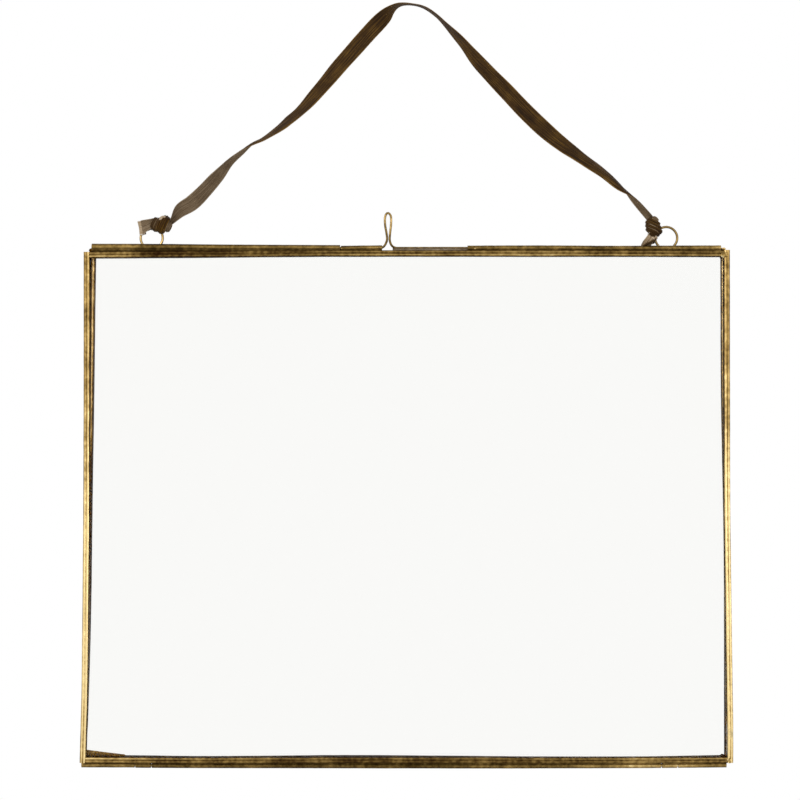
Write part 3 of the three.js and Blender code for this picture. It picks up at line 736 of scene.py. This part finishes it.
# The ribbon is a woven quarter-inch strap, taupe on one face and dark brown on the other. It rises from the
# left knot over the nail and down to the right knot, twisting half a turn each way, so both faces show.
RIBBON_HALF = 3.25 * MM
RIBBON_THICK = 0.3 * MM
RIBBON_COLUMNS = 16
STEPS_PER_POINT = 12
PINCH = 0.42
RIPPLE_LENGTH, PLEAT_LENGTH = 2.3 * MM, 1.7 * MM
THREAD = 0.42 * MM
STREAK_ACROSS, STREAK_ALONG = 0.35 * MM, 14 * MM
PATCH_SIZE = 7 * MM

# The route in mm from the nail: x, y, z and the turn about it in degrees. It follows the solid's, and runs
# 3 mm further into each knot. Each point's half width follows: where pinched, the ribbon curls lengthwise.
RIBBON_ROUTE = [
    (-98.0, 0.8, -89.0, 44), (-95.9, 1.0, -87.5, 40), (-92.2, 1.0, -83.3, 28), (-87.3, 1.0, -80.2, 26),
    (-82.4, 0.9, -75.5, 34), (-77.6, 0.8, -70.2, 47), (-72.7, 0.6, -64.2, 67), (-67.8, 0.5, -59.9, 82),
    (-62.9, 0.4, -56.3, 101), (-58.0, 0.4, -53.9, 113), (-53.1, 0.4, -50.6, 124), (-48.2, 0.4, -47.0, 131),
    (-43.3, 0.4, -42.9, 137), (-36.0, 0.4, -35.0, 152), (-28.7, 0.4, -26.3, 165), (-21.3, 0.3, -17.9, 176),
    (-14.0, 0.2, -9.8, 186), (-9.1, 0.1, -4.8, 212), (-5.9, 0.0, -1.6, 249), (-2.6, 0.0, 0.2, 269),
    (2.3, 0.0, 0.4, 275), (7.2, 0.0, -0.8, 273), (12.1, 0.0, -4.2, 269), (17.0, 0.1, -8.9, 260),
    (22.7, 0.2, -15.1, 245), (30.0, 0.3, -23.8, 221), (39.8, 0.4, -34.0, 208), (49.6, 0.5, -44.2, 193),
    (59.4, 0.6, -53.2, 171), (69.1, 0.6, -60.3, 153), (78.9, 0.5, -67.0, 139), (86.2, 0.5, -72.9, 131),
    (93.6, 0.5, -79.5, 66), (98.9, 0.7, -85.6, 38), (100.8, 0.6, -88.4, 38),
]
RIBBON_HALVES = (
    [0.9, 1.25, 2.9] + [3.25] * 3 + [3.0, 2.8, 2.8, 3.0, 3.1] + [3.25] * 15 + [3.35] * 3
    + [3.05, 2.9, 2.5, 1.8, 1.7, 1.4]
)


def eased(points, steps):
    """A smooth line of number lists through the points, with steps between each two."""
    line, last = [], len(points) - 1
    for k in range(last):
        before, here, after, beyond = (points[min(max(k + j, 0), last)] for j in (-1, 0, 1, 2))
        for step in range(steps + (k == last - 1)):
            t = step / steps
            line.append([
                0.5 * (2 * b + (c - a) * t + (2 * a - 5 * b + 4 * c - d) * t * t
                       + (3 * b - a - 3 * c + d) * t ** 3)
                for a, b, c, d in zip(before, here, after, beyond)
            ])
    return line


def headings(middles):
    """The direction along a line of points at each of them."""
    last = len(middles) - 1
    return [(middles[min(k + 1, last)] - middles[max(k - 1, 0)]).normalized() for k in range(last + 1)]


def hanging_strap(route, halves):
    """Stations of a strap along a route with turns: middle, across, through, half width and curl."""
    line = eased([
        (x * MM, y * MM, z * MM, turn, half * MM) for (x, y, z, turn), half in zip(route, halves)
    ], STEPS_PER_POINT)
    middles = [Vector(p[:3]) for p in line]
    stations = []
    for middle, along, (*_, turn, half) in zip(middles, headings(middles), line):
        across = Vector((0, 1, 0)).cross(along).normalized()
        across.rotate(Matrix.Rotation(math.radians(turn), 3, along))
        curl = PINCH * math.sqrt(max(0.0, RIBBON_HALF ** 2 - half ** 2))
        stations.append((middle, across, along.cross(across), half, curl))
    return stations


def folded_strap(route, across, curl=0.25 * MM):
    """Stations of a strap whose width keeps one direction, along points of x, y, z and half width in mm."""
    line = eased([[v * MM for v in point] for point in route], STEPS_PER_POINT)
    middles = [Vector(p[:3]) for p in line]
    across = Vector(across).normalized()
    return [
        (middle, across, along.cross(across).normalized(), point[3], curl)
        for middle, along, point in zip(middles, headings(middles), line)
    ]


WINDING_STEPS = 40
WINDING_START, WINDING_SWEEP = 80, 380


def winding(centre, axis, reach, depth, half, pale_out):
    """Stations of one turn of strap, wound about an axis with its ends tucked under each other behind."""
    backwards, face = Vector((0, 1, 0)), -1 if pale_out else 1
    sideways = axis.cross(backwards).normalized()
    stations = []
    for k in range(WINDING_STEPS + 1):
        angle = math.radians(WINDING_START + WINDING_SWEEP * k / WINDING_STEPS)
        swell = (0.95 + 0.1 * k / WINDING_STEPS) * MM
        out = sideways * math.cos(angle) * reach + backwards * math.sin(angle) * depth
        normal = (sideways * math.cos(angle) / reach + backwards * math.sin(angle) / depth).normalized()
        along = (backwards * math.cos(angle) * depth - sideways * math.sin(angle) * reach).normalized()
        through = normal * face
        curl = 0.4 * half * MM * face
        stations.append((centre * MM + out * swell, through.cross(along), through, half * MM, curl))
    return stations


def strap_mesh(straps, thick, ripple, pleat, tones):
    """Straps of cloth in one mesh, each with the tones of its dark and pale face. Each is a thin closed skin
    whose edges curl and ripple, with fine pleats along it, and keeps its place across and along."""
    points, faces, kept = [], [], {"tone": [], "across": [], "along": [], "edge": []}
    columns, ring = RIBBON_COLUMNS, 2 * (RIBBON_COLUMNS + 1)
    for stations, face_tones in zip(straps, tones):
        base, travelled, last = len(points), 0.0, stations[0][0]
        for middle, across, through, half, curl in stations:
            travelled += (middle - last).length
            last = middle
            for face in (-1, 1):
                for column in range(columns + 1):
                    u = (2 * column / columns - 1) * -face
                    wave = ripple * abs(u) ** 3 * math.sin(travelled / RIPPLE_LENGTH + 4 * u)
                    fold = pleat * math.cos(3 * math.pi * u + 0.6 * math.sin(travelled / PLEAT_LENGTH))
                    skin = face * thick / 2 * (1 - 0.6 * abs(u) ** 8)
                    lift = skin + wave + fold - curl * (u * u - 0.35)
                    points.append(middle + across * (u * half) + through * lift)
                    kept["tone"].append(face_tones[face < 0])
                    kept["across"].append(u * half)
                    kept["along"].append(travelled)
                    kept["edge"].append(abs(u))
        for row in range(len(stations) - 1):
            for k in range(ring):
                here, there, ahead = base + row * ring, base + (row + 1) * ring, (k + 1) % ring
                faces.append((here + k, here + ahead, there + ahead, there + k))
        faces.append([base + k for k in range(ring)][::-1])
        faces.append([base + (len(stations) - 1) * ring + k for k in range(ring)])
    mesh = bpy.data.meshes.new("strap")
    mesh.from_pydata(points, [], faces)
    for label, values in kept.items():
        mesh.attributes.new(label, "FLOAT", "POINT").data.foreach_set("value", values)
    mesh.shade_smooth()
    mesh.set_sharp_from_angle(angle=SMOOTH_ANGLE)
    return mesh


def woven_ribbon():
    """Ribbed cotton and rayon ribbon: threads across and along, slubs, a worn selvage, a faint sheen. The
    threads are drawn about twice as coarse as real ones, so that they show."""
    material, tree, place = start_material("Woven brown ribbon")
    across, along, face_tone, edge = (
        add_node(tree, "ShaderNodeAttribute", attribute_name=label).outputs["Fac"]
        for label in ("across", "along", "tone", "edge")
    )
    flat = add_node(tree, "ShaderNodeCombineXYZ", {"X": across, "Y": along})
    stretched = add_node(tree, "ShaderNodeVectorMath", {
        0: flat, 1: (1 / STREAK_ACROSS, 1 / STREAK_ALONG, 1),
    }, operation="MULTIPLY")
    streaks = add_node(tree, "ShaderNodeTexNoise", {"Vector": stretched, "Scale": 1.0, "Detail": 3.0})
    patches = add_node(tree, "ShaderNodeTexNoise", {"Vector": place, "Scale": 1 / PATCH_SIZE, "Detail": 3.0})
    ribs, warp = (
        add_node(tree, "ShaderNodeTexWave", {
            "Vector": flat, "Scale": 1 / THREAD / 3.2, "Distortion": 0.6, "Detail": 1.0, "Detail Scale": 2.0,
        }, bands_direction=direction).outputs["Fac"]
        for direction in ("Y", "X")
    )
    tone = add_node(tree, "ShaderNodeMapRange", {
        "Value": edge, "From Min": 0.86, "From Max": 0.95, "To Min": -0.33, "To Max": -0.05,
    })
    for pattern, share in ((streaks, 0.95), (patches, 0.45), (ribs, 0.12), (warp, 0.12)):
        tone = add_node(tree, "ShaderNodeMath", {0: pattern, 1: share, 2: tone}, operation="MULTIPLY_ADD")
    dark, taupe = (
        add_node(tree, "ShaderNodeValToRGB", {"Fac": tone}, stops=list(zip((0.25, 0.5, 0.8), colours)))
        for colours in (("#1b0f05", "#39250d", "#735521"), ("#493a2a", "#685640", "#927f68"))
    )
    colour = add_node(tree, "ShaderNodeMix", {
        "Factor": face_tone, MIX_A: dark, MIX_B: taupe,
    }, data_type="RGBA", clamp_factor=False)
    weave = add_node(tree, "ShaderNodeMath", {0: ribs, 1: warp}, operation="ADD")
    bump = add_node(tree, "ShaderNodeBump", {"Height": weave, "Strength": 0.5, "Distance": 0.1 * MM})
    return end_material(material, {
        "Base Color": colour.outputs[MIX_RESULT], "Roughness": 0.7, "Specular IOR Level": 0.1,
        "Sheen Weight": 0.03, "Sheen Roughness": 0.4, "Normal": bump,
    })


ribbon_cloth = woven_ribbon()


def cloth_piece(name, *straps, thick=0.4 * MM, ripple=0.0, pleat=0.0, tones=((0.0, 1.0),)):
    """A piece of ribbon that rides on the back leaf. One pair of tones serves all its straps."""
    tones = tones if len(tones) == len(straps) else tones * len(straps)
    piece = new_object(name, strap_mesh(straps, thick, ripple, pleat, tones))
    piece.data.materials.append(ribbon_cloth)
    join_frame(piece, "back_leaf", "ribbon")
    return piece


ribbon_line = hanging_strap(RIBBON_ROUTE, RIBBON_HALVES)
ribbon = cloth_piece("ribbon_strap", ribbon_line, thick=RIBBON_THICK, ripple=0.1 * MM, pleat=0.05 * MM)
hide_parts("ribbon")

# Each end is folded round its ring and tied back on itself in an overhand knot. The knot is a few turns of
# the strap, wound on each other and drawn tight, with its dark face mostly outwards.
KNOT_THICK = 0.7 * MM

# Each knot's place in mm and its axis.
LEFT_KNOT = ((-99.9, 0.9, -89.2), (0.91, 0, -0.41))
RIGHT_KNOT = ((100.8, 0.9, -90.4), (0.45, 0, 0.89))

# Each turn's place along the knot's axis and sideways of it, its reach sideways, its depth and half width.
LEFT_TURNS = [(-2.75, -0.85, 2.3, 1.9, 1.1), (-1.4, -0.7, 2.6, 2.2, 1.0), (0.85, 0.35, 3.4, 2.7, 1.6)]
LEFT_TONES = [0.1, 0.1, -0.07]
LEFT_PALE_TURNS = [(2.9, 0.35, 1.75, 1.8, 1.2)]
LEFT_EDGES = [(-2.15, -0.75, 2.5, 2.35, 0.17), (-3.0, -0.85, 2.25, 2.0, 0.14)]
# A thin dark strap between the left knot's turns: a painted shadow line where the turns overlap.
LEFT_SHADOW_LINE = [(-0.8, -0.2, 2.95, 2.6, 0.17)]
RIGHT_TURNS = [
    (3.2, 1.2, 1.1, 1.4, 0.8), (2.1, 0.9, 2.3, 1.9, 0.9), (0.9, 0.5, 3.1, 2.3, 0.95),
    (-0.3, -0.3, 3.3, 2.5, 1.0), (-1.6, -0.5, 2.7, 2.3, 1.0), (-2.8, -1.0, 1.6, 1.8, 0.9),
]
RIGHT_EDGES = [(0.3, 0.1, 3.3, 2.75, 0.2), (-1.0, -0.4, 3.1, 2.7, 0.2)]


def knot_turns(knot, turns, pale_out=False):
    """The windings of a knot."""
    centre, axis = (Vector(part) for part in knot)
    sideways = axis.cross(Vector((0, 1, 0)))
    return [
        winding(centre + axis * place + sideways * aside, axis, reach, depth, half, pale_out)
        for place, aside, reach, depth, half in turns
    ]


def tied_end(side, knot, turns, turn_tones, pale_turns, edges, loop, loop_tone, extras):
    """A knot's turns, its turned-up edges and the loop round the ring, each in place of its solid."""
    body = cloth_piece(
        f"{side}_knot_turns", *knot_turns(knot, turns), thick=KNOT_THICK, pleat=0.12 * MM,
        tones=[(tone, 1.0) for tone in turn_tones],
    )
    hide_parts(f"ribbon_knot_{side}")
    fold = cloth_piece(f"{side}_loop_strap", *loop, pleat=0.08 * MM, tones=[(0.0, loop_tone)])
    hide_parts(f"ribbon_loop_{side}")
    pieces = [body, fold, cloth_piece(f"{side}_knot_edges", *knot_turns(knot, edges), tones=[(1.4, 1.0)])]
    if pale_turns:
        pale = knot_turns(knot, pale_turns, pale_out=True)
        pieces.append(cloth_piece(f"{side}_knot_pale_turn", *pale, thick=KNOT_THICK, pleat=0.1 * MM))
    return pieces + [cloth_piece(f"{side}_{name}", strap, tones=[tones]) for name, strap, tones in extras]


LEFT_FOLD = (-0.16, 0, 0.99)
left_end = tied_end(
    "left", LEFT_KNOT, LEFT_TURNS, LEFT_TONES, LEFT_PALE_TURNS, LEFT_EDGES, loop=[
        folded_strap([
            (-102.4, 0.4, -88.3, 1.8), (-104.2, -0.3, -88.9, 1.95), (-106.1, -0.5, -89.8, 2.5),
            (-107.3, -0.2, -90.4, 2.9), (-107.6, 0.8, -90.4, 2.8), (-107.0, 2.2, -89.8, 2.3),
            (-105.2, 3.0, -89.2, 2.0), (-102.4, 2.6, -88.2, 1.7),
        ], LEFT_FOLD),
    ], loop_tone=1.4, extras=[
        ("loop_edge", folded_strap([
            (-106.8, 0.3, -90.4, 2.8), (-108.2, 0.2, -90.6, 2.9), (-108.9, 0.9, -90.6, 2.9),
            (-108.5, 2.4, -90.5, 2.9), (-106.8, 3.3, -90.0, 2.8),
        ], LEFT_FOLD), (0.0, 3.8)),
        ("knot_scrap", folded_strap([
            (-100.5, -0.9, -87.1, 0.5), (-99.2, -1.4, -86.5, 0.75), (-98.0, -1.2, -86.5, 0.6),
        ], (-0.2, 0, -1)), (0.0, 4.0)),
        # A painted shadow line between the left knot's turns.
        ("knot_groove", knot_turns(LEFT_KNOT, LEFT_SHADOW_LINE)[0], (-0.15, 1.0)),
    ],
)
# The right loop is painted far paler than the taupe face: a painted highlight over the taupe where it folds
# round the ring.
right_end = tied_end(
    "right", RIGHT_KNOT, RIGHT_TURNS, [0.0], [], RIGHT_EDGES, loop=[
        folded_strap([
            (100.2, -0.2, -93.0, 1.5), (99.4, 0.0, -94.8, 1.8), (98.3, 0.9, -96.4, 1.9),
            (97.6, 2.0, -97.8, 1.9), (97.2, 2.3, -98.8, 1.8),
        ], (-0.9, 0, 0.45)),
        folded_strap([
            (100.2, -0.8, -94.0, 0.9), (101.1, -0.7, -94.6, 0.9), (101.6, 0.4, -95.3, 0.9),
            (101.2, 2.4, -95.9, 0.9), (99.6, 2.9, -96.4, 0.9),
        ], (-0.5, 0, -0.8)),
    ], loop_tone=4.6, extras=[
        ("loop_fold", folded_strap([
            (101.5, -0.5, -95.2, 0.5), (100.1, -0.7, -96.1, 0.5), (98.4, 0.2, -96.9, 0.5),
            (96.6, 1.6, -97.8, 0.45),
        ], (0.4, 0, -0.9)), (0.15, 1.0)),
        ("knot_scrap", folded_strap([
            (100.2, -0.7, -86.3, 0.6), (101.2, -1.1, -86.9, 0.8), (102.2, -1.0, -88.0, 0.7),
        ], (-0.7, 0, -0.7)), (0.0, 0.8)),
    ],
)

# A nail or hook isn't part of the frame, so the floor is set low enough for the front leaf to hang open above
# it. It fades out towards its edges. The camera stands where the photo's did, square to the leaves.
CAMERA_DISTANCE = 780 * MM
CAMERA_RIGHT, CAMERA_HEIGHT = -2.6 * MM, -182 * MM
PICTURE_WIDTH = 324.1 * MM
PICTURE_SHIFT = 0.0656
SENSOR = 36
camera_data = bpy.data.cameras.new("camera")
camera_data.sensor_width = SENSOR
camera_data.lens = SENSOR * CAMERA_DISTANCE / PICTURE_WIDTH
camera_data.shift_y = PICTURE_SHIFT
camera = new_object("camera", camera_data)
camera.location = (CAMERA_RIGHT, CHANNEL_LOW.y - CAMERA_DISTANCE, CAMERA_HEIGHT)
camera.rotation_euler = (math.radians(90), 0, 0)
bpy.context.scene.camera = camera

FLOOR_HEIGHT = -0.56
FLOOR_HALF = 1.2
SHADE_LEVEL = 0.55
LAMP_TARGET = (0, 0, -0.16)
floor_mesh = bpy.data.meshes.new("floor")
floor_corners = [
    (x * FLOOR_HALF, y * FLOOR_HALF, FLOOR_HEIGHT) for x, y in ((-1, -1), (1, -1), (1, 1), (-1, 1))
]
floor_mesh.from_pydata(floor_corners, [], [(0, 1, 2, 3)])
floor = new_object("floor", floor_mesh)
floor_paint, floor_tree, floor_place = start_material("Pale floor")
reach = add_node(floor_tree, "ShaderNodeVectorMath", {
    0: floor_place, 1: (1 / FLOOR_HALF, 1 / FLOOR_HALF, 0),
}, operation="MULTIPLY")
reach = add_node(floor_tree, "ShaderNodeVectorMath", {0: reach}, operation="LENGTH").outputs["Value"]
fade = add_node(floor_tree, "ShaderNodeMapRange", {
    "Value": reach, "From Min": 0.35, "From Max": 0.98, "To Min": 1.0, "To Max": 0.0,
})
floor_mesh.materials.append(end_material(floor_paint, {
    "Base Color": linear("#f4f4f2"), "Roughness": 0.7, "Alpha": fade,
}))

world = bpy.data.worlds.new("studio")
bpy.context.scene.world = world
world.use_nodes = True
studio = world.node_tree
studio.nodes.clear()
ray = add_node(studio, "ShaderNodeLightPath")
seen = ray.outputs["Is Camera Ray"]
for label in ("Is Glossy Ray", "Is Transmission Ray"):
    seen = add_node(studio, "ShaderNodeMath", {0: seen, 1: ray.outputs[label]}, operation="MAXIMUM")
level = add_node(studio, "ShaderNodeMapRange", {"Value": seen, "To Min": SHADE_LEVEL, "To Max": 1.0})
sky = add_node(studio, "ShaderNodeBackground", {"Color": (1, 1, 1, 1), "Strength": level})
add_node(studio, "ShaderNodeOutputWorld", {"Surface": sky})

for name, place, size, watts in (
    ("key light", (-0.9, -0.9, 0.45), 0.6, 9.0),
    ("fill light", (1.1, -0.8, 0.1), 0.9, 5.0),
    ("back light", (0.4, 1.1, 0.7), 0.8, 6.0),
):
    lamp_data = bpy.data.lights.new(name, "AREA")
    lamp_data.size = size
    lamp_data.energy = watts
    lamp = new_object(name, lamp_data)
    lamp.location = place
    lamp.rotation_euler = (Vector(LAMP_TARGET) - Vector(place)).to_track_quat("-Z", "Y").to_euler()

bpy.context.scene.view_settings.view_transform = "Standard"
